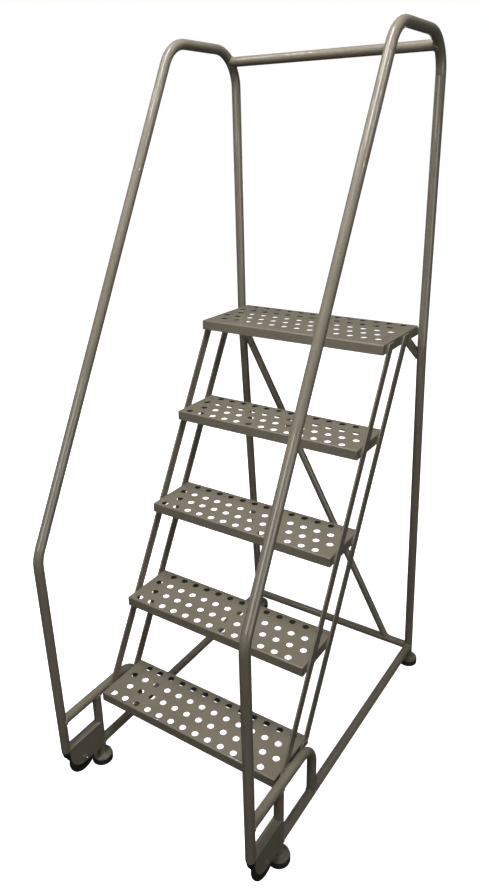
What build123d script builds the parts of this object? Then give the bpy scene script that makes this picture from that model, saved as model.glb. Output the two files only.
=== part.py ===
from build123d import *
import os

# Rolling warehouse ladder: five perforated steps between two bent side rails, on four rubber feet, with a
# pair of wheels behind the front legs that take the weight when the ladder is tipped forward.
# X runs across the steps, Y from the front of the stair to the back, Z up. While it is built, y = 0 is the
# centre of the front legs at their lower ends; the export then moves every piece so that the origin is at
# the middle of the footprint box, on the floor.

os.makedirs("parts", exist_ok=True)

# ---- driving dimensions, mm ----
RISE = 254.0            # from one tread to the next
FIRST_TREAD_Z = 258.0
RUN = 142.0             # going of one step
STEPS = 5
FIRST_NOSE_Y = 145.0    # front edge of the lowest step
STEP_W = 598.0
STEP_DEPTH = 176.0
TOP_STEP_DEPTH = 258.0
STEP_FLANGE = 29.5      # depth of the turned-down edges
SHEET = 2.0             # thickness of the step sheet
STEP_EDGE_R = 4.0       # outer radius of the folded edges

HOLE_D = 19.0
HOLE_PITCH = 42.7       # along a row
HOLE_ROW_PITCH = 46.0   # from row to row
HOLES_IN_ROW = 13
LAST_ROW_INSET = 20.6   # rear edge to the last row
FRONT_MARGIN = 16.0     # least distance from the front edge to a row
STEP_ROW_SHIFT = (10.6, -10.4)      # sideways place of the odd and even rows, counted from the rear
TOP_ROW_SHIFT = (4.5, -17.5)

BAR_W = 28.6            # flat bar of the stringers and platform braces
BAR_T = 4.8
FRONT_BAR_SETBACK = 54.0
REAR_BAR_SETBACK = 163.5
BAR_FOOT_Z = 240.0      # cut-off height of the stringers on the hoops
BAR_TOP_GAP = 6.0       # top of the stringers below the top step's face

TUBE_D = 27.0
TUBE_WALL = 2.0
TUBE_R = TUBE_D / 2
BEND_R = 100.0
RAIL_X = STEP_W / 2 + BAR_T + TUBE_R

LEG_END_Z = 144.0       # open lower end of the front leg
KNEE = (-11.0, 792.0)
RAIL_TOP_Z = 2037.0
RAIL_TOP_FRONT_Y = 640.0
RAIL_TOP_REAR_Y = 949.5
POST_KINK = (966.0, 1217.0)
REAR_FOOT_Y = 1068.0

END_TRIM = 8.0          # length sawn off a leaning tube to leave a level end

PAD_D = 63.5
PAD_H = 18.0
DISC_D = 60.0
DISC_T = 5.0
PAD_EDGE_R = 2.0
PAD_STEM_D = 12.0
PAD_STEM_H = 18.0       # stem above the pad, through the disc and into the tube
POST_END_Z = PAD_H + DISC_T
POST_LEAN = (REAR_FOOT_Y - POST_KINK[0]) / (POST_KINK[1] - POST_END_Z + END_TRIM)

BASE_TUBE_Z = 71.0
FRONT_FOOT_Y = 136.0
HOOP_Z = 252.0
HOOP_REAR_Y = 316.0
HOOP_R = 70.0

DIAGONAL_D = 24.0
DIAGONAL_WALL = 1.6
DIAGONAL_TOP_Z = 1209.0
DIAGONAL_FOOT_X = 231.0

BRACE_TOP = (882.0, 1249.0)
BRACE_FOOT_Z = 1190.0    # on the centre line of the post

BRACKET_W = TUBE_D
BRACKET_T = 2.7
BRACKET_TOP_Z = 150.0
BRACKET_FOOT_Z = 62.0
BRACKET_FRONT_Y = 4.0
BRACKET_LOBE_R = 58.0   # the one large round of the front lower corner

AXLE_Y = 59.0
AXLE_Z = 80.0
WHEEL_D = 101.6
TYRE_W = 19.0
TYRE_EDGE_R = 8.0
TYRE_BORE_D = 68.0
HUB_W = 20.6
HUB_BOSS_D = 30.0
HUB_WEB_W = 9.0
HUB_RIM_T = 4.0
SLEEVE_D = 12.0
RUNNING_GAP = 0.06      # radial clearance of the hub on its sleeve
BOLT_D = 8.0
BOLT_HOLE_D = 8.2
HEX_AF = 13.0
HEX_CORNER_D = 14.5     # across the rounded corners of the bolt head and nut
HEAD_H = 5.3
NUT_H = 7.0
BOLT_OVERRUN = 3.0

PLUG_H = 20.0           # the tapered part below the tube
PLUG_TIP_D = 18.0
PLUG_TIP_R = 3.0
PLUG_SPIGOT_H = 16.0
PLUG_LOOSENESS = 1.0    # spigot under the tube's bore
PLUG_CLEARANCE = 0.3    # from the bracket to the plug's side

SIDES = {"left": -1, "right": 1}
CUT_MARGIN = 2.0        # how far a cutting tool runs past the face it cuts
COPE = 1.5              # a tube that meets another's side stops this far short of the other's centre


# ---- shared shapes ----
def sweep_tube(path, diameter, wall):
    """A tube along a path, and the solid of its outside for cutting its neighbours to fit."""
    start = Plane(origin=path @ 0, z_dir=path % 0)
    outside = start * Circle(diameter / 2)
    ring = outside - start * Circle(diameter / 2 - wall)
    return sweep(ring, path=path), sweep(outside, path=path)


def side_tube(side, corners, bend_r):
    """A frame tube bent in the plane of one side rail, through (y, z) corners."""
    path = Plane.YZ.offset(side * RAIL_X) * FilletPolyline(*corners, radius=bend_r)
    return sweep_tube(path, TUBE_D, TUBE_WALL)


def straight_tube(start, end, diameter=TUBE_D, wall=TUBE_WALL):
    return sweep_tube(Line(start, end), diameter, wall)


def disc(x, y, bottom, diameter, height):
    """An upright cylinder standing on the height bottom."""
    return Pos(x, y, bottom + height / 2) * Cylinder(diameter / 2, height)


def cross_rod(x_from, x_to, y, z, diameter):
    """A cylinder along X."""
    length = abs(x_to - x_from)
    return Pos((x_from + x_to) / 2, y, z) * Rot(0, 90, 0) * Cylinder(diameter / 2, length)


def level_end(tube, x, y, z):
    """Saw the lower end of an upright tube off level at height z."""
    return tube - disc(x, y, z - 2 * END_TRIM, 2 * TUBE_D, 2 * END_TRIM)


def side_plate(outline, x_from, x_to):
    """A (y, z) outline given thickness along X."""
    low, high = sorted((x_from, x_to))
    return extrude(Plane.YZ.offset(low) * make_face(outline), high - low)


def post_y(z):
    """Centre of the lower part of the rear post at a height."""
    kink_y, kink_z = POST_KINK
    return kink_y + POST_LEAN * (kink_z - z)


# ---- steps ----
def step_nose(number):
    return FIRST_NOSE_Y + (number - 1) * RUN


def tread_z(number):
    return FIRST_TREAD_Z + (number - 1) * RISE


def step_pan(number, depth, row_shift):
    """A sheet pan with four turned-down edges and staggered rows of round holes."""
    top = tread_z(number)
    middle_y = step_nose(number) + depth / 2
    block = Pos(0, middle_y, top - STEP_FLANGE / 2) * Box(STEP_W, depth, STEP_FLANGE)
    block = fillet(block.edges().group_by(Axis.Z)[-1], STEP_EDGE_R)
    inside = Pos(0, middle_y, top - SHEET - STEP_FLANGE / 2)
    hollow = inside * Box(STEP_W - 2 * SHEET, depth - 2 * SHEET, STEP_FLANGE)
    hollow = fillet(hollow.edges().group_by(Axis.Z)[-1], STEP_EDGE_R - SHEET)
    rows = int((depth - LAST_ROW_INSET - FRONT_MARGIN) // HOLE_ROW_PITCH) + 1
    rear = step_nose(number) + depth - LAST_ROW_INSET
    holes = Sketch()
    for row in range(rows):
        row_middle = (row_shift[row % 2], rear - row * HOLE_ROW_PITCH)
        holes += Pos(*row_middle) * GridLocations(HOLE_PITCH, 1, HOLES_IN_ROW, 1) * Circle(HOLE_D / 2)
    punch = extrude(Pos(0, 0, top - SHEET - CUT_MARGIN) * holes, SHEET + 2 * CUT_MARGIN)
    return block - hollow - punch


def bar_centre(setback, z):
    """Where a stringer's centre line is at a height: a line through the same place on each step."""
    return FIRST_NOSE_Y + setback + (z - FIRST_TREAD_Z) * RUN / RISE


def stringer(side, setback):
    """A flat bar up the outside of the step ends, with level cuts at both ends."""
    half = BAR_W / 2 * (RUN ** 2 + RISE ** 2) ** 0.5 / RISE
    top = tread_z(STEPS) - BAR_TOP_GAP
    low_y = bar_centre(setback, BAR_FOOT_Z)
    top_y = bar_centre(setback, top)
    foot = [(low_y - half, BAR_FOOT_Z), (low_y + half, BAR_FOOT_Z)]
    head = [(top_y + half, top), (top_y - half, top)]
    return side_plate(Polyline(*foot, *head, close=True), side * STEP_W / 2, side * (STEP_W / 2 + BAR_T))


def platform_brace(side):
    """A short flat bar from the rear stringer's top down to the rear post, cut along the post's middle."""
    start = Vector(*BRACE_TOP)
    end = Vector(post_y(BRACE_FOOT_Z), BRACE_FOOT_Z)
    along = (end - start).normalized()
    across = Vector(-along.Y, along.X) * (BAR_W / 2)
    post = Vector(-POST_LEAN, 1)
    slant = along * (across.cross(post).Z / along.cross(post).Z)
    corners = [start + across, start - across, end - across + slant, end + across - slant]
    outline = Polyline(*[(point.X, point.Y) for point in corners], close=True)
    return side_plate(outline, side * STEP_W / 2, side * (STEP_W / 2 + BAR_T))


# ---- wheel mounting and feet ----
def plug_cone(x, clearance=0.0):
    """The tapered part of the leg plug, or the same with a clearance round its side."""
    place = Pos(x, 0, LEG_END_Z - PLUG_H / 2)
    return place * Cone(PLUG_TIP_D / 2 + clearance, TUBE_D / 2 + clearance, PLUG_H)


def wheel_bracket(side, leg, foot_post):
    """An inverted channel between the front leg and the foot post, cut to fit the round tubes."""
    middle = side * RAIL_X
    front_low = (BRACKET_FRONT_Y, BRACKET_FOOT_Z)
    corners = [
        (BRACKET_FRONT_Y, BRACKET_TOP_Z),
        front_low,
        (FRONT_FOOT_Y, BRACKET_FOOT_Z),
        (FRONT_FOOT_Y, BRACKET_TOP_Z),
    ]
    face = make_face(Polyline(*corners, close=True))
    lobe = face.vertices().sort_by_distance((*front_low, 0))[0]
    face = fillet(lobe, BRACKET_LOBE_R)
    half = BRACKET_W / 2
    channel = extrude(Plane.YZ.offset(middle - half) * face, BRACKET_W)
    inner_w = BRACKET_W - 2 * BRACKET_T
    long_enough = 2 * FRONT_FOOT_Y
    gap_z = BRACKET_TOP_Z - BRACKET_T - BRACKET_TOP_Z / 2
    channel -= Pos(middle, FRONT_FOOT_Y / 2, gap_z) * Box(inner_w, long_enough, BRACKET_TOP_Z)
    channel -= cross_rod(middle - half - CUT_MARGIN, middle + half + CUT_MARGIN, AXLE_Y, AXLE_Z, BOLT_HOLE_D)
    channel -= plug_cone(middle, PLUG_CLEARANCE)
    return channel - leg - foot_post


def hex_block(x_from, x_to):
    """A hexagonal prism on the axle line, its corners rounded off."""
    low, high = sorted((x_from, x_to))
    start = Plane(origin=(low, AXLE_Y, AXLE_Z), z_dir=(1, 0, 0))
    block = extrude(start * RegularPolygon(HEX_AF / 2, 6, major_radius=False), high - low)
    return block & cross_rod(low, high, AXLE_Y, AXLE_Z, HEX_CORNER_D)


def axle_pieces(side):
    """Bolt, nut and spacer sleeve: the head is on the outside of the bracket, the nut on the inside."""
    middle = side * RAIL_X
    outer = middle + side * BRACKET_W / 2
    inner = middle - side * BRACKET_W / 2
    shank = cross_rod(outer, inner - side * (NUT_H + BOLT_OVERRUN), AXLE_Y, AXLE_Z, BOLT_D)
    bolt = hex_block(outer, outer + side * HEAD_H) + shank
    nut_end = inner - side * NUT_H
    nut = hex_block(inner, nut_end) - cross_rod(inner, nut_end, AXLE_Y, AXLE_Z, BOLT_D)
    half_gap = BRACKET_W / 2 - BRACKET_T
    sleeve = cross_rod(middle - half_gap, middle + half_gap, AXLE_Y, AXLE_Z, SLEEVE_D)
    sleeve -= cross_rod(middle - half_gap, middle + half_gap, AXLE_Y, AXLE_Z, BOLT_HOLE_D)
    return bolt, nut, sleeve


def wheel_pieces(side):
    """Rubber tyre and moulded hub, both turned about the axle."""
    place = Pos(side * RAIL_X, AXLE_Y, AXLE_Z) * Rot(0, 90, 0)
    tyre = Cylinder(WHEEL_D / 2, TYRE_W) - Cylinder(TYRE_BORE_D / 2, TYRE_W)
    tread_edges = tyre.edges().filter_by(GeomType.CIRCLE).group_by(SortBy.RADIUS)[-1]
    tyre = fillet(tread_edges, TYRE_EDGE_R)
    hub = Cylinder(TYRE_BORE_D / 2, TYRE_W)
    recess_h = (TYRE_W - HUB_WEB_W) / 2
    recess = Cylinder(TYRE_BORE_D / 2 - HUB_RIM_T, recess_h) - Cylinder(HUB_BOSS_D / 2, recess_h)
    for end in (-1, 1):
        hub -= Pos(0, 0, end * (TYRE_W - recess_h) / 2) * recess
    hub += Cylinder(HUB_BOSS_D / 2, HUB_W)
    hub -= Cylinder(SLEEVE_D / 2 + RUNNING_GAP, HUB_W)
    return place * tyre, place * hub


def foot_pieces(x, y):
    """Steel disc under a post, and the rubber pad whose stem passes up through it."""
    plate = disc(x, y, PAD_H, DISC_D, DISC_T) - disc(x, y, PAD_H, PAD_STEM_D, DISC_T)
    pad = disc(x, y, 0, PAD_D, PAD_H)
    pad = fillet(pad.edges().filter_by(GeomType.CIRCLE), PAD_EDGE_R)
    pad += disc(x, y, PAD_H, PAD_STEM_D, PAD_STEM_H)
    return plate, pad


def leg_plug(side):
    """Moulded plug in the open end of the front leg."""
    x = side * RAIL_X
    cone = plug_cone(x)
    cone = fillet(cone.edges().group_by(Axis.Z)[0], PLUG_TIP_R)
    spigot = disc(x, 0, LEG_END_Z, TUBE_D - 2 * TUBE_WALL - PLUG_LOOSENESS, PLUG_SPIGOT_H)
    return cone + spigot


# ---- assembly ----
pieces = {}

for number in range(1, STEPS):
    pieces[f"step_{number}"] = step_pan(number, STEP_DEPTH, STEP_ROW_SHIFT)
pieces["top_step"] = step_pan(STEPS, TOP_STEP_DEPTH, TOP_ROW_SHIFT)

rail_corners = [
    (0, LEG_END_Z - END_TRIM),
    KNEE,
    (RAIL_TOP_FRONT_Y, RAIL_TOP_Z),
    (RAIL_TOP_REAR_Y, RAIL_TOP_Z),
    POST_KINK,
    (REAR_FOOT_Y, POST_END_Z - END_TRIM),
]
bend_shift = BEND_R * (1 - 0.5 ** 0.5)
grab_tube_y = RAIL_TOP_REAR_Y - bend_shift
grab_tube_z = RAIL_TOP_Z - bend_shift
cross_x = RAIL_X - COPE
grab_tube, _ = straight_tube((-cross_x, grab_tube_y, grab_tube_z), (cross_x, grab_tube_y, grab_tube_z))
floor_tube_y = post_y(BASE_TUBE_Z)
floor_tube, floor_tube_solid = straight_tube(
    (-cross_x, floor_tube_y, BASE_TUBE_Z), (cross_x, floor_tube_y, BASE_TUBE_Z)
)
diagonal, diagonal_solid = straight_tube(
    (-RAIL_X, post_y(DIAGONAL_TOP_Z), DIAGONAL_TOP_Z),
    (DIAGONAL_FOOT_X, floor_tube_y, BASE_TUBE_Z),
    DIAGONAL_D,
    DIAGONAL_WALL,
)

for name, side in SIDES.items():
    x = side * RAIL_X
    rail, rail_solid = (
        level_end(level_end(tube, x, 0, LEG_END_Z), x, REAR_FOOT_Y, POST_END_Z)
        for tube in side_tube(side, rail_corners, BEND_R)
    )
    hoop_corners = [(COPE, HOOP_Z), (HOOP_REAR_Y, HOOP_Z), (HOOP_REAR_Y, BASE_TUBE_Z + COPE)]
    hoop, hoop_solid = side_tube(side, hoop_corners, HOOP_R)
    foot_post, foot_post_solid = straight_tube(
        (x, FRONT_FOOT_Y, POST_END_Z), (x, FRONT_FOOT_Y, HOOP_Z - COPE)
    )
    base, base_solid = straight_tube(
        (x, FRONT_FOOT_Y + COPE, BASE_TUBE_Z), (x, floor_tube_y - COPE, BASE_TUBE_Z)
    )
    rear_bar = stringer(side, REAR_BAR_SETBACK)
    grab_tube -= rail_solid
    floor_tube -= rail_solid + base_solid
    diagonal -= rail_solid

    pieces[f"{name}_side_rail"] = rail
    pieces[f"{name}_hoop"] = hoop - rail_solid - base_solid
    pieces[f"{name}_front_foot_post"] = foot_post - hoop_solid
    pieces[f"{name}_base_tube"] = base - rail_solid - foot_post_solid
    pieces[f"{name}_front_stringer"] = stringer(side, FRONT_BAR_SETBACK)
    pieces[f"{name}_rear_stringer"] = rear_bar
    pieces[f"{name}_platform_brace"] = platform_brace(side) - rear_bar - diagonal_solid
    pieces[f"{name}_wheel_bracket"] = wheel_bracket(side, rail_solid, foot_post_solid)
    pieces[f"{name}_leg_plug"] = leg_plug(side)
    for end, y in {"front": FRONT_FOOT_Y, "rear": REAR_FOOT_Y}.items():
        plate, pad = foot_pieces(x, y)
        pieces[f"{name}_{end}_foot_disc"] = plate
        pieces[f"{name}_{end}_foot_pad"] = pad
    bolt, nut, sleeve = axle_pieces(side)
    pieces[f"{name}_axle_bolt"] = bolt
    pieces[f"{name}_axle_nut"] = nut
    pieces[f"{name}_axle_sleeve"] = sleeve
    tyre, hub = wheel_pieces(side)
    pieces[f"{name}_wheel_tyre"] = tyre
    pieces[f"{name}_wheel_hub"] = hub

pieces["grab_tube"] = grab_tube
pieces["floor_tube"] = floor_tube
pieces["rear_diagonal"] = diagonal - floor_tube_solid

front = min(piece.bounding_box().min.Y for piece in pieces.values())
rear = max(piece.bounding_box().max.Y for piece in pieces.values())
Y_MIDDLE = (front + rear) / 2

for node, piece in pieces.items():
    export_step(Pos(0, -Y_MIDDLE, 0) * piece, f"parts/{node}.step")
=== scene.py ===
import math
import random

import bpy
from mathutils import Matrix, Vector
from mathutils.bvhtree import BVHTree

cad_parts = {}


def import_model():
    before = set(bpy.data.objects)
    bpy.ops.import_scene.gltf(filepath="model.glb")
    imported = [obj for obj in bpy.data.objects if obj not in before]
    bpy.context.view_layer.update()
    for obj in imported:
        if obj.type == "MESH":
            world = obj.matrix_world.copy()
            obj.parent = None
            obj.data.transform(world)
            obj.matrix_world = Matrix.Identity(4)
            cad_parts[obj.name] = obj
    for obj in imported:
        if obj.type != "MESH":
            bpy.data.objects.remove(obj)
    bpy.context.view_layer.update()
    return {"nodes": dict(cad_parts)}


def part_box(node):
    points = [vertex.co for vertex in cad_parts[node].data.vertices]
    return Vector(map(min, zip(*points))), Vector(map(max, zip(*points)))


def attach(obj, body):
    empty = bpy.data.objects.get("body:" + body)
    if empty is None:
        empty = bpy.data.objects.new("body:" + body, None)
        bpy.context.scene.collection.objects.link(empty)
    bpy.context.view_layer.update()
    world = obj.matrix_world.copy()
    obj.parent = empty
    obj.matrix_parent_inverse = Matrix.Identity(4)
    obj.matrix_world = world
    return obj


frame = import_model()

# Looks of the rolling warehouse ladder: enamel on steel tube, bar and sheet, weld beads at the joints,
# black rubber, moulded plastic and zinc. Metres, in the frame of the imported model.

NODES = frame["nodes"]
SIDES = {"left": -1, "right": 1}
STEPS = ["step_1", "step_2", "step_3", "step_4", "top_step"]

# ---- linear colours ----
ENAMEL = (0.158, 0.140, 0.105)
ENAMEL_DARK = (0.108, 0.094, 0.068)
ENAMEL_PALE = (0.225, 0.204, 0.160)
RUBBER_DARK = (0.006, 0.006, 0.006)
RUBBER_GREY = (0.022, 0.021, 0.020)
DUST = (0.09, 0.085, 0.078)
PLASTIC_DARK = (0.008, 0.008, 0.008)
PLASTIC_GREY = (0.020, 0.019, 0.018)
ZINC_DARK = (0.52, 0.54, 0.55)
ZINC_PALE = (0.78, 0.80, 0.80)
FLOOR_WHITE = (0.86, 0.86, 0.855)
FLOOR_SHADE = (0.84, 0.84, 0.835)

# ---- rounded edges and relief ----
CORNER_MERGE = 0.00001      # points closer than this are joined before rounding
EDGE_SEGMENTS = 2
EDGE_ANGLE = 35             # degrees; flatter edges stay as they are
SHEET_EDGE_R = 0.0007
BAR_EDGE_R = 0.0006
BOLT_EDGE_R = 0.0004
DUST_TOP = 0.014            # above the floor
TYRE_RING_PITCH = 0.0016    # of the fine rings on the sidewalls
TYRE_FACE_DEPTH = 0.004     # of the polished running face

# ---- studio ----
FLOOR_REACH = 60
FLOOR_DROP = 0.0003         # below the pads' undersides
FLOOR_GLOW = 1.0
STUDIO_LEVELS = [(0.0, 0.02), (0.5, 0.07), (1.0, 0.13)]     # share of the way up, brightness
STUDIO_TINT = (1, 0.985, 0.955)

# ---- camera ----
CAMERA_PLACE = (1.0151, -1.6005, 1.7885)
CAMERA_TURN = 33.67         # degrees
CAMERA_DOWN = 21.00
CAMERA_ROLL = -1.01
CAMERA_LENS = 29.14         # millimetres, on a sensor this wide
SENSOR_WIDTH = 36
SHIFT_X = 0.0057
SHIFT_Y = -0.0313

# ---- weld beads ----
BEAD_SPACING = 0.0007       # between the rings of a bead
BEAD_PITCH = 0.0026         # between its ripples
BEAD_SIDES = 10
TUBE_BEAD_R = 0.0026
BAR_BEAD_R = 0.0018
RING_POINTS = 72
RING_INSET = 0.035          # share of a tube's radius by which a ring's rays start inside it
AXIS_PASSES = 8             # to find a tube's direction from its points
HOOP_TOP_START = 0.1        # back from the hoop's front end, on its level run
HOOP_REAR_START = 0.08      # up from the hoop's lower end, on its upright run
ABOVE_DISC = 0.03
PLUG_SPIGOT = 0.016         # the part of a leg plug inside the tube
BRACKET_ARC_POINTS = 25
BRACKET_ARC_HALF = 68       # degrees to each side, around the tube that the bracket meets
LEG_SEAM_LIFT = 0.003       # above the open end of the leg
POST_SEAM_LIFT = 0.004      # above the bottom of the bracket
STEP_SEAM_OUT = 0.0004      # beyond the step's end
STEP_SEAM_LIFT = 0.003      # above the bottom of the step's flange
STEP_SEAM_DROP = 0.006      # below the tread
HOOP_SEAM_OUT = 0.0012      # beyond the bar's outer face
HOOP_SEAM_HALF = 0.008      # above and below the middle of the hoop's level run
HOOP_SEAM_INSET = 0.002     # from the bar's edges
BRACE_SEAM_OUT = 0.0013     # beyond the brace's outer face
BRACE_SEAM_INSETS = (0.016, 0.003)      # from the brace's rear end
BRACE_SEAM_SPAN = (0.006, 0.030)        # above the brace's lowest point
CORNER_SEAM_OUT = 0.0016    # beyond the top step's end
CORNER_SEAM_INSET = 0.006   # from its rear edge
CORNER_SEAM_LIFT = 0.002    # above the bottom of its flange
CORNER_SEAM_DROP = 0.004    # below its tread

random.seed(7)


# ---- materials ----
class Surface:
    """A material built from nodes, in object coordinates, which are metres in the ladder's frame."""

    def __init__(self, name):
        self.material = bpy.data.materials.new(name)
        self.material.use_nodes = True
        self.tree = self.material.node_tree
        self.tree.nodes.clear()
        self.shader = self.node("BsdfPrincipled")
        output = self.node("OutputMaterial")
        self.link(self.shader.outputs["BSDF"], output.inputs["Surface"])
        self.place = self.node("TexCoord").outputs["Object"]

    def node(self, kind):
        return self.tree.nodes.new("ShaderNode" + kind)

    def link(self, start, end):
        self.tree.links.new(start, end)

    def put(self, socket, value):
        """Link a socket to an output, or set it to a number or colour."""
        if isinstance(value, bpy.types.NodeSocket):
            self.link(value, socket)
        elif isinstance(value, tuple) and len(value) == 3 and socket.type == "RGBA":
            socket.default_value = (*value, 1)
        else:
            socket.default_value = value

    def constants(self, **values):
        """Set the shader's own sockets, named with underscores for spaces."""
        for key, value in values.items():
            self.shader.inputs[key.replace("_", " ")].default_value = value

    def noise(self, scale, detail=3.0, roughness=0.55, place=None):
        noise = self.node("TexNoise")
        self.put(noise.inputs["Vector"], place or self.place)
        noise.inputs["Scale"].default_value = scale
        noise.inputs["Detail"].default_value = detail
        noise.inputs["Roughness"].default_value = roughness
        return noise.outputs["Fac"]

    def stretched(self, x, y, z):
        """Object coordinates scaled differently along each axis."""
        mapping = self.node("Mapping")
        self.put(mapping.inputs["Vector"], self.place)
        mapping.inputs["Scale"].default_value = (x, y, z)
        return mapping.outputs["Vector"]

    def spread(self, value, low, high, to_low=0.0, to_high=1.0):
        """Map low..high to to_low..to_high, held at both ends."""
        spread = self.node("MapRange")
        self.put(spread.inputs["Value"], value)
        spread.inputs["From Min"].default_value = low
        spread.inputs["From Max"].default_value = high
        spread.inputs["To Min"].default_value = to_low
        spread.inputs["To Max"].default_value = to_high
        return spread.outputs["Result"]

    def maths(self, operation, first, second):
        maths = self.node("Math")
        maths.operation = operation
        self.put(maths.inputs[0], first)
        self.put(maths.inputs[1], second)
        return maths.outputs["Value"]

    def blend(self, share, first, second):
        """A colour between two colours."""
        mix = self.node("Mix")
        mix.data_type = "RGBA"
        self.put(mix.inputs["Factor"], share)
        self.put(mix.inputs[6], first)
        self.put(mix.inputs[7], second)
        return mix.outputs[2]

    def colour(self, value):
        self.put(self.shader.inputs["Base Color"], value)

    def roughness(self, value):
        self.put(self.shader.inputs["Roughness"], value)

    def bump(self, height, depth, under=None):
        """Relief of the given depth in metres, over an earlier relief if there is one."""
        bump = self.node("Bump")
        self.put(bump.inputs["Height"], height)
        bump.inputs["Strength"].default_value = 1.0
        bump.inputs["Distance"].default_value = depth
        if under is not None:
            self.link(under, bump.inputs["Normal"])
        self.link(bump.outputs["Normal"], self.shader.inputs["Normal"])
        return bump.outputs["Normal"]

    def axis(self, letter):
        split = self.node("SeparateXYZ")
        self.put(split.inputs["Vector"], self.place)
        return split.outputs[letter]


def enamel(name, gloss=0.42, speckle=0.5):
    """Sprayed warm grey enamel: cloudy tone, fine speckle and orange peel."""
    s = Surface(name)
    cloud = s.spread(s.noise(7, 2), 0.35, 0.65)
    grain = s.spread(s.noise(420, 4, 0.7), 0.34, 0.66)
    tone = s.blend(cloud, ENAMEL, s.blend(0.35, ENAMEL, ENAMEL_PALE))
    shaded = s.blend(s.maths("MULTIPLY", grain, speckle), tone, ENAMEL_DARK)
    s.colour(shaded)
    s.roughness(s.spread(s.noise(60, 3), 0.3, 0.7, gloss - 0.05, gloss + 0.09))
    s.constants(Coat_Weight=0.9, Coat_Roughness=0.045, IOR=1.45)
    peel = s.bump(s.noise(650, 2, 0.5), 0.00002)
    s.bump(s.noise(110, 2, 0.5), 0.00003, peel)
    return s


def tread_enamel(name, nose_y):
    """The same enamel on a step, rubbed a little paler near its front edge, with fine scuffs."""
    s = enamel(name, gloss=0.46, speckle=0.62)
    painted = s.shader.inputs["Base Color"].links[0].from_socket
    near_nose = s.spread(s.axis("Y"), nose_y + 0.004, nose_y + 0.075, 1.0, 0.12)
    scuffs = s.noise(1.0, 5, 0.72, s.stretched(45, 260, 260))
    fine = s.spread(s.maths("MULTIPLY", s.spread(scuffs, 0.56, 0.70), near_nose), 0.0, 1.0, 0.0, 0.45)
    s.colour(s.blend(fine, painted, ENAMEL_PALE))
    return s


def weld_enamel(name):
    """Enamel over a weld: paler in small patches, duller, with small spatter bumps."""
    s = Surface(name)
    patches = s.spread(s.noise(260, 4, 0.7), 0.35, 0.65)
    s.colour(s.blend(patches, ENAMEL, ENAMEL_PALE))
    s.roughness(s.spread(patches, 0.0, 1.0, 0.34, 0.48))
    s.constants(Coat_Weight=0.2, Coat_Roughness=0.2, IOR=1.5)
    s.bump(s.noise(900, 3, 0.6), 0.00012)
    return s


def rubber(name, dust_top):
    """Matte black rubber with a fine moulded grain, dusty below the height dust_top."""
    s = Surface(name)
    grain = s.noise(1100, 3, 0.6)
    dusty = s.spread(s.axis("Z"), 0.0, dust_top, 0.5, 0.0)
    patches = s.maths("MULTIPLY", s.spread(s.noise(120, 4, 0.7), 0.4, 0.7), dusty)
    base = s.blend(s.spread(grain, 0.35, 0.65), RUBBER_DARK, RUBBER_GREY)
    s.colour(s.blend(patches, base, DUST))
    s.roughness(s.spread(s.noise(90, 3), 0.3, 0.7, 0.55, 0.72))
    s.constants(IOR=1.5)
    s.bump(grain, 0.00010)
    return s


def tyre_rubber(name, axle, tread_r):
    """Wheel rubber: fine rings about the axle on the sidewalls, a slightly polished running face."""
    s = Surface(name)
    centred = s.node("VectorMath")
    centred.operation = "SUBTRACT"
    s.put(centred.inputs[0], s.place)
    centred.inputs[1].default_value = axle
    flat = s.node("VectorMath")
    flat.operation = "MULTIPLY"
    s.put(flat.inputs[0], centred.outputs["Vector"])
    flat.inputs[1].default_value = (0, 1, 1)
    reach = s.node("VectorMath")
    reach.operation = "LENGTH"
    s.put(reach.inputs[0], flat.outputs["Vector"])
    waves = s.maths("MULTIPLY", reach.outputs["Value"], 2 * math.pi / TYRE_RING_PITCH)
    ring = s.maths("SINE", waves, 0)
    grain = s.noise(900, 3, 0.6)
    s.colour(s.blend(s.spread(grain, 0.35, 0.65), RUBBER_DARK, RUBBER_GREY))
    s.roughness(s.spread(reach.outputs["Value"], tread_r - TYRE_FACE_DEPTH, tread_r, 0.62, 0.46))
    s.constants(IOR=1.5)
    rings = s.bump(s.spread(ring, -1, 1), 0.00008)
    s.bump(grain, 0.00008, rings)
    return s


def plastic(name):
    """Moulded plastic with a spark-eroded grain."""
    s = Surface(name)
    grain = s.noise(1400, 2, 0.5)
    s.colour(s.blend(s.spread(s.noise(40, 3), 0.35, 0.65), PLASTIC_DARK, PLASTIC_GREY))
    s.roughness(s.spread(grain, 0.3, 0.7, 0.36, 0.52))
    s.constants(IOR=1.46)
    s.bump(grain, 0.00005)
    return s


def zinc(name):
    """Bright zinc plate: mottled metal with fine turning marks."""
    s = Surface(name)
    mottle = s.spread(s.noise(500, 4, 0.7), 0.35, 0.65)
    s.colour(s.blend(mottle, ZINC_DARK, ZINC_PALE))
    s.roughness(s.spread(mottle, 0.0, 1.0, 0.20, 0.34))
    s.constants(Metallic=1.0)
    s.bump(s.noise(1.0, 3, 0.6, s.stretched(1800, 300, 300)), 0.00004)
    return s


def paint_node(name, surface):
    node = NODES[name]
    node.data.materials.clear()
    node.data.materials.append(surface.material)


def soften(name, width):
    """Round a CAD node's sharp edges a little, so that they catch the light."""
    node = NODES[name]
    weld = node.modifiers.new("join_corners", "WELD")
    weld.merge_threshold = CORNER_MERGE
    bevel = node.modifiers.new("edge_round", "BEVEL")
    bevel.width = width
    bevel.segments = EDGE_SEGMENTS
    bevel.limit_method = "ANGLE"
    bevel.angle_limit = math.radians(EDGE_ANGLE)
    bevel.harden_normals = False


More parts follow.
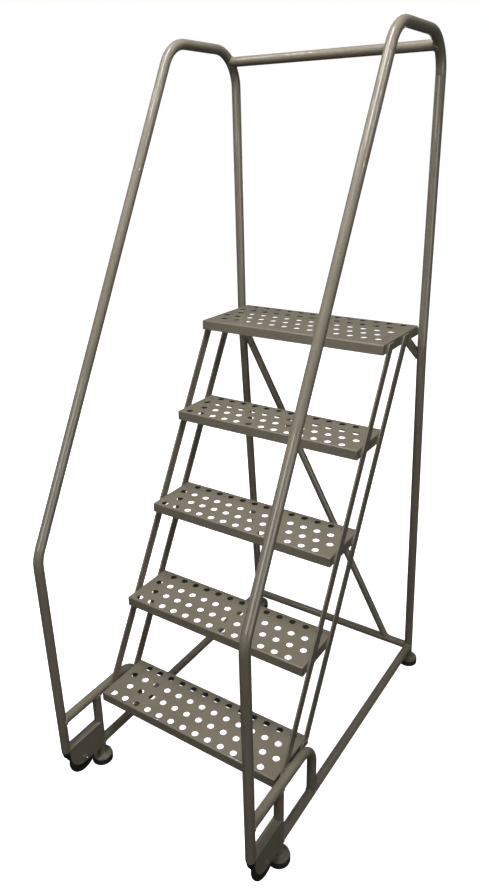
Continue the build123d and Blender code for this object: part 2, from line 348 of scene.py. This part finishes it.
def surfaces():
    tube_paint = enamel("tube_enamel")
    bar_paint = enamel("bar_enamel", gloss=0.44, speckle=0.55)
    foot_rubber = rubber("foot_rubber", DUST_TOP)
    black_plastic = plastic("black_plastic")
    bright_zinc = zinc("bright_zinc")
    for name in NODES:
        if name in STEPS:
            paint_node(name, tread_enamel(name + "_enamel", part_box(name)[0].y))
            soften(name, SHEET_EDGE_R)
        elif name.endswith("_foot_pad"):
            paint_node(name, foot_rubber)
        elif name.endswith(("_leg_plug", "_wheel_hub")):
            paint_node(name, black_plastic)
        elif "_axle_" in name:
            paint_node(name, bright_zinc)
            soften(name, BOLT_EDGE_R)
        elif name.endswith("_wheel_tyre"):
            low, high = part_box(name)
            tread_r = (high.z - low.z) / 2
            paint_node(name, tyre_rubber(name + "_rubber", (low + high) / 2, tread_r))
        elif name.endswith(("_stringer", "_brace", "_bracket", "_disc")):
            paint_node(name, bar_paint)
            soften(name, BAR_EDGE_R)
        else:
            paint_node(name, tube_paint)


# ---- weld beads ----
class Beads:
    """Weld beads that end up in one mesh."""

    def __init__(self):
        self.points = []
        self.faces = []

    def add(self, path, radius, closed=False):
        """A rippled bead along a path of points."""
        rings = even_points(path, closed)
        count = len(rings)
        start = len(self.points)
        length = count * BEAD_SPACING
        ripples = max(2, round(length / BEAD_PITCH))
        side = None
        for i, centre in enumerate(rings):
            ahead = rings[(i + 1) % count] if closed else rings[min(i + 1, count - 1)]
            behind = rings[i - 1] if closed or i else rings[0]
            along = (ahead - behind).normalized()
            side = along.orthogonal() if side is None else side - along * side.dot(along)
            side.normalize()
            up = along.cross(side)
            wave = abs(math.cos(math.pi * ripples * i / count))
            size = radius * (0.84 + 0.16 * wave) * random.uniform(0.97, 1.03)
            if not closed:
                from_end = min(i, count - 1 - i) * BEAD_SPACING
                size *= math.sqrt(min(1.0, 0.04 + from_end / radius))
            for k in range(BEAD_SIDES):
                turn = 2 * math.pi * k / BEAD_SIDES
                self.points.append(centre + (side * math.cos(turn) + up * math.sin(turn)) * size)
        for i in range(count if closed else count - 1):
            here = start + i * BEAD_SIDES
            there = start + ((i + 1) % count) * BEAD_SIDES
            for k in range(BEAD_SIDES):
                after = (k + 1) % BEAD_SIDES
                self.faces.append((here + k, here + after, there + after, there + k))
        if not closed:
            last = start + (count - 1) * BEAD_SIDES
            self.faces.append(tuple(start + k for k in reversed(range(BEAD_SIDES))))
            self.faces.append(tuple(last + k for k in range(BEAD_SIDES)))

    def finish(self, name, surface):
        """Turn the beads into a piece that rides on the frame."""
        mesh = bpy.data.meshes.new(name)
        mesh.from_pydata(self.points, [], self.faces)
        mesh.polygons.foreach_set("use_smooth", [True] * len(mesh.polygons))
        mesh.materials.append(surface.material)
        piece = bpy.data.objects.new(name, mesh)
        bpy.context.scene.collection.objects.link(piece)
        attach(piece, "frame")


def even_points(path, closed):
    """Points BEAD_SPACING apart along a path."""
    corners = path + path[:1] if closed else path
    legs = [(a, b, (b - a).length) for a, b in zip(corners, corners[1:])]
    total = sum(length for _, _, length in legs)
    count = max(4, round(total / BEAD_SPACING))
    step = total / (count if closed else count - 1)
    points = []
    done = 0.0
    leg = 0
    for i in range(count):
        target = i * step
        while leg < len(legs) - 1 and done + legs[leg][2] < target:
            done += legs[leg][2]
            leg += 1
        start, end, length = legs[leg]
        points.append(start.lerp(end, min(1.0, (target - done) / length)))
    return points


def surface_of(*names):
    """What a ray can hit: the faces of some CAD nodes."""
    points = []
    faces = []
    for name in names:
        mesh = NODES[name].data
        first = len(points)
        points += [vertex.co for vertex in mesh.vertices]
        faces += [[first + index for index in face.vertices] for face in mesh.polygons]
    return BVHTree.FromPolygons(points, faces)


def joint_ring(start, direction, radius, target):
    """Where a round tube running from start along direction meets the target's surface."""
    direction = Vector(direction).normalized()
    side = direction.orthogonal().normalized()
    up = direction.cross(side)
    path = []
    for k in range(RING_POINTS):
        turn = 2 * math.pi * k / RING_POINTS
        outward = side * math.cos(turn) + up * math.sin(turn)
        hit = target.ray_cast(start + outward * radius * (1 - RING_INSET), direction)[0]
        if hit is not None:
            path.append(hit + outward * radius * RING_INSET)
    return path


def middle(name):
    low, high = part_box(name)
    return (low + high) / 2


def tube_axis(name):
    """Centre and direction of a straight tube, from the spread of its points."""
    points = [vertex.co for vertex in NODES[name].data.vertices]
    centre = sum(points, Vector()) / len(points)
    direction = Vector((1, 0, -2)).normalized()
    for _ in range(AXIS_PASSES):
        pulls = ((p - centre) * (p - centre).dot(direction) for p in points)
        direction = sum(pulls, Vector()).normalized()
    return centre, direction


def cross_tube_welds(beads):
    """Rings at both ends of the two cross tubes and of the diagonal."""
    for name in ("grab_tube", "floor_tube"):
        low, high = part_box(name)
        radius = (high.z - low.z) / 2
        for side_name, side in SIDES.items():
            target = surface_of(side_name + "_side_rail", side_name + "_base_tube")
            ring = joint_ring(middle(name), (side, 0, 0), radius, target)
            beads.add(ring, TUBE_BEAD_R, closed=True)
    centre, direction = tube_axis("rear_diagonal")
    points = [vertex.co for vertex in NODES["rear_diagonal"].data.vertices]
    radius = max((p - centre).cross(direction).length for p in points)
    for sign, name in ((1, "floor_tube"), (-1, "left_side_rail")):
        towards = direction * sign * (1 if direction.z < 0 else -1)
        beads.add(joint_ring(centre, towards, radius, surface_of(name)), TUBE_BEAD_R, closed=True)


def side_frame_welds(beads, side_name):
    """Rings where the tubes of one side frame meet, and around its posts on the foot discs."""
    rail = surface_of(side_name + "_side_rail")
    post = side_name + "_front_foot_post"
    base = side_name + "_base_tube"
    hoop = side_name + "_hoop"
    centre = middle(base)
    low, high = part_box(base)
    radius = (high.x - low.x) / 2
    beads.add(joint_ring(centre, (0, -1, 0), radius, surface_of(post)), TUBE_BEAD_R, closed=True)
    beads.add(joint_ring(centre, (0, 1, 0), radius, rail), TUBE_BEAD_R, closed=True)
    low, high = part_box(hoop)
    top_run = Vector((centre.x, low.y + HOOP_TOP_START, high.z - radius))
    rear_run = Vector((centre.x, high.y - radius, low.z + HOOP_REAR_START))
    beads.add(joint_ring(top_run, (0, -1, 0), radius, rail), TUBE_BEAD_R, closed=True)
    beads.add(joint_ring(rear_run, (0, 0, -1), radius, surface_of(base)), TUBE_BEAD_R, closed=True)
    beads.add(joint_ring(middle(post), (0, 0, 1), radius, surface_of(hoop)), TUBE_BEAD_R, closed=True)
    for end in ("front", "rear"):
        disc = f"{side_name}_{end}_foot_disc"
        above = middle(disc) + Vector((0, 0, ABOVE_DISC))
        beads.add(joint_ring(above, (0, 0, -1), radius, surface_of(disc)), TUBE_BEAD_R, closed=True)


def bracket_welds(beads, side_name):
    """Seams up and over the ends of the wheel bracket, where it meets the leg and the foot post."""
    low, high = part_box(side_name + "_wheel_bracket")
    post = middle(side_name + "_front_foot_post")
    leg = middle(side_name + "_leg_plug")
    leg_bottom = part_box(side_name + "_leg_plug")[1].z - PLUG_SPIGOT + LEG_SEAM_LIFT
    post_bottom = low.z + POST_SEAM_LIFT
    radius = (high.x - low.x) / 2
    for tube, facing, bottom in ((leg, 1, leg_bottom), (post, -1, post_bottom)):
        arc = []
        for k in range(BRACKET_ARC_POINTS):
            share = k / (BRACKET_ARC_POINTS - 1)
            turn = math.radians(BRACKET_ARC_HALF * (2 * share - 1))
            reach = Vector((math.sin(turn), facing * math.cos(turn), 0)) * radius
            arc.append(Vector((tube.x, tube.y, high.z)) + reach)
        down = [Vector((arc[-1].x, arc[-1].y, bottom))]
        up = [Vector((arc[0].x, arc[0].y, bottom))]
        beads.add(up + arc + down, BAR_BEAD_R)


def bar_edges(name):
    """Lowest front corner, run along Y per metre of height, and breadth along Y of a sloping bar."""
    low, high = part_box(name)
    first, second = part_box(STEPS[0]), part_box(STEPS[1])
    slope = (second[0].y - first[0].y) / (second[1].z - first[1].z)
    breadth = (high.y - low.y) - slope * (high.z - low.z)
    return low, slope, breadth


def step_welds(beads, side_name, side):
    """Short beads down both edges of each bar on each step's end, and where the bars stand on the hoop."""
    hoop_low, hoop_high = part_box(side_name + "_hoop")
    hoop_z = hoop_high.z - (hoop_high.x - hoop_low.x) / 2
    for bar in ("front_stringer", "rear_stringer"):
        low, slope, breadth = bar_edges(f"{side_name}_{bar}")
        bar_low, bar_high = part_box(f"{side_name}_{bar}")
        for step in STEPS:
            step_low, step_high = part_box(step)
            x = side * (step_high.x + STEP_SEAM_OUT)
            for edge in (0.0, breadth):
                ends = [
                    Vector((x, low.y + slope * (z - low.z) + edge, z))
                    for z in (step_low.z + STEP_SEAM_LIFT, step_high.z - STEP_SEAM_DROP)
                ]
                beads.add(ends, BAR_BEAD_R)
        x = (bar_high.x if side > 0 else bar_low.x) + side * HOOP_SEAM_OUT
        for z in (hoop_z - HOOP_SEAM_HALF, hoop_z + HOOP_SEAM_HALF):
            edge_y = low.y + slope * (z - low.z)
            seam = [
                Vector((x, edge_y + HOOP_SEAM_INSET, z)),
                Vector((x, edge_y + breadth - HOOP_SEAM_INSET, z)),
            ]
            beads.add(seam, BAR_BEAD_R)


def platform_welds(beads, side_name, side):
    """Beads between the rear post, the platform brace and the top step's rear corner."""
    low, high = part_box(side_name + "_platform_brace")
    x = (high.x if side > 0 else low.x) + side * BRACE_SEAM_OUT
    for inset in BRACE_SEAM_INSETS:
        seam = [Vector((x, high.y - inset, low.z + lift)) for lift in BRACE_SEAM_SPAN]
        beads.add(seam, BAR_BEAD_R)
    step_low, step_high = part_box("top_step")
    x = side * (step_high.x + CORNER_SEAM_OUT)
    y = step_high.y - CORNER_SEAM_INSET
    ends = (step_low.z + CORNER_SEAM_LIFT, step_high.z - CORNER_SEAM_DROP)
    beads.add([Vector((x, y, z)) for z in ends], TUBE_BEAD_R)


def welds():
    painted_weld = weld_enamel("weld_enamel")
    beads = Beads()
    cross_tube_welds(beads)
    beads.finish("cross_tube_weld_beads", painted_weld)
    for side_name, side in SIDES.items():
        beads = Beads()
        side_frame_welds(beads, side_name)
        bracket_welds(beads, side_name)
        beads.finish(side_name + "_frame_weld_beads", painted_weld)
        beads = Beads()
        step_welds(beads, side_name, side)
        platform_welds(beads, side_name, side)
        beads.finish(side_name + "_step_weld_beads", painted_weld)


# ---- stage ----
def area_light(name, place, target, width, height, power):
    data = bpy.data.lights.new(name, "AREA")
    data.shape = "RECTANGLE"
    data.size = width
    data.size_y = height
    data.energy = power
    light = bpy.data.objects.new(name, data)
    light.location = place
    light.rotation_euler = (Vector(target) - Vector(place)).to_track_quat("-Z", "Y").to_euler()
    bpy.context.scene.collection.objects.link(light)
    return light


def floor():
    """A plain pale floor that reaches the horizon and glows like a white studio sweep."""
    mesh = bpy.data.meshes.new("floor")
    signs = [(-1, -1), (1, -1), (1, 1), (-1, 1)]
    corners = [(x * FLOOR_REACH, y * FLOOR_REACH, 0) for x, y in signs]
    mesh.from_pydata(corners, [], [(0, 1, 2, 3)])
    plane = bpy.data.objects.new("floor", mesh)
    plane.location.z = -FLOOR_DROP
    bpy.context.scene.collection.objects.link(plane)
    s = Surface("floor_paper")
    s.colour(s.blend(s.noise(0.8, 2), FLOOR_WHITE, FLOOR_SHADE))
    s.roughness(0.8)
    s.constants(Emission_Color=(1, 1, 1, 1), Emission_Strength=FLOOR_GLOW)
    mesh.materials.append(s.material)
    plane.visible_glossy = False
    plane.visible_diffuse = False


def world():
    """White to the camera; to the ladder, a dim grey ceiling over darker walls and a nearly black floor."""
    sky = bpy.data.worlds.new("studio")
    sky.use_nodes = True
    bpy.context.scene.world = sky
    tree = sky.node_tree
    tree.nodes.clear()
    output = tree.nodes.new("ShaderNodeOutputWorld")
    seen = tree.nodes.new("ShaderNodeBackground")
    seen.inputs["Color"].default_value = (1, 1, 1, 1)
    felt = tree.nodes.new("ShaderNodeBackground")
    place = tree.nodes.new("ShaderNodeTexCoord")
    split = tree.nodes.new("ShaderNodeSeparateXYZ")
    height = tree.nodes.new("ShaderNodeMapRange")
    height.inputs["From Min"].default_value = -1
    ramp = tree.nodes.new("ShaderNodeValToRGB")
    ramp.color_ramp.elements.new(0.5)
    for stop, (position, level) in zip(ramp.color_ramp.elements, STUDIO_LEVELS):
        stop.position = position
        stop.color = (*(level * tint for tint in STUDIO_TINT), 1)
    ray = tree.nodes.new("ShaderNodeLightPath")
    mix = tree.nodes.new("ShaderNodeMixShader")
    tree.links.new(place.outputs["Generated"], split.inputs["Vector"])
    tree.links.new(split.outputs["Z"], height.inputs["Value"])
    tree.links.new(height.outputs["Result"], ramp.inputs["Fac"])
    tree.links.new(ramp.outputs["Color"], felt.inputs["Color"])
    tree.links.new(ray.outputs["Is Camera Ray"], mix.inputs["Fac"])
    tree.links.new(felt.outputs["Background"], mix.inputs[1])
    tree.links.new(seen.outputs["Background"], mix.inputs[2])
    tree.links.new(mix.outputs["Shader"], output.inputs["Surface"])


def lights():
    overhead = area_light("overhead", (0.1, -0.7, 3.7), (0, -0.1, 0), 1.6, 1.6, 84)
    overhead.visible_glossy = False
    area_light("streak", (0.1, -0.7, 3.9), (0, -0.1, 0), 0.2, 1.8, 46)
    area_light("front_box", (0.2, -4.2, 2.4), (0, 0, 0.4), 1.8, 1.8, 42)
    area_light("right_fill", (3.6, -1.4, 0.9), (0.3, -0.2, 0.3), 1.8, 1.8, 24)
    back_fill = area_light("back_fill", (-1.2, 4.2, 2.0), (0, 0, 0.9), 1.8, 1.8, 26)
    back_fill.visible_glossy = False
    area_light("left_strip", (-1.48, -0.93, 3.76), (0, 0.1, 1.6), 0.035, 0.8, 11)
    area_light("right_strip", (2.4, -0.3, 3.3), (0.3, 0.1, 1.6), 0.035, 0.8, 11)


def camera():
    """In front of the steps, to their right and above the platform, looking down at the whole ladder."""
    turn = Matrix.Rotation(math.radians(CAMERA_TURN), 4, "Z")
    tilt = Matrix.Rotation(math.pi / 2 - math.radians(CAMERA_DOWN), 4, "X")
    roll = Matrix.Rotation(math.radians(CAMERA_ROLL), 4, "Z")
    data = bpy.data.cameras.new("camera")
    data.sensor_width = SENSOR_WIDTH
    data.lens = CAMERA_LENS
    data.shift_x = SHIFT_X
    data.shift_y = SHIFT_Y
    view = bpy.data.objects.new("camera", data)
    view.matrix_world = Matrix.Translation(CAMERA_PLACE) @ turn @ tilt @ roll
    bpy.context.scene.collection.objects.link(view)
    bpy.context.scene.camera = view


surfaces()
welds()
floor()
world()
lights()
camera()
bpy.context.scene.view_settings.view_transform = "Standard"
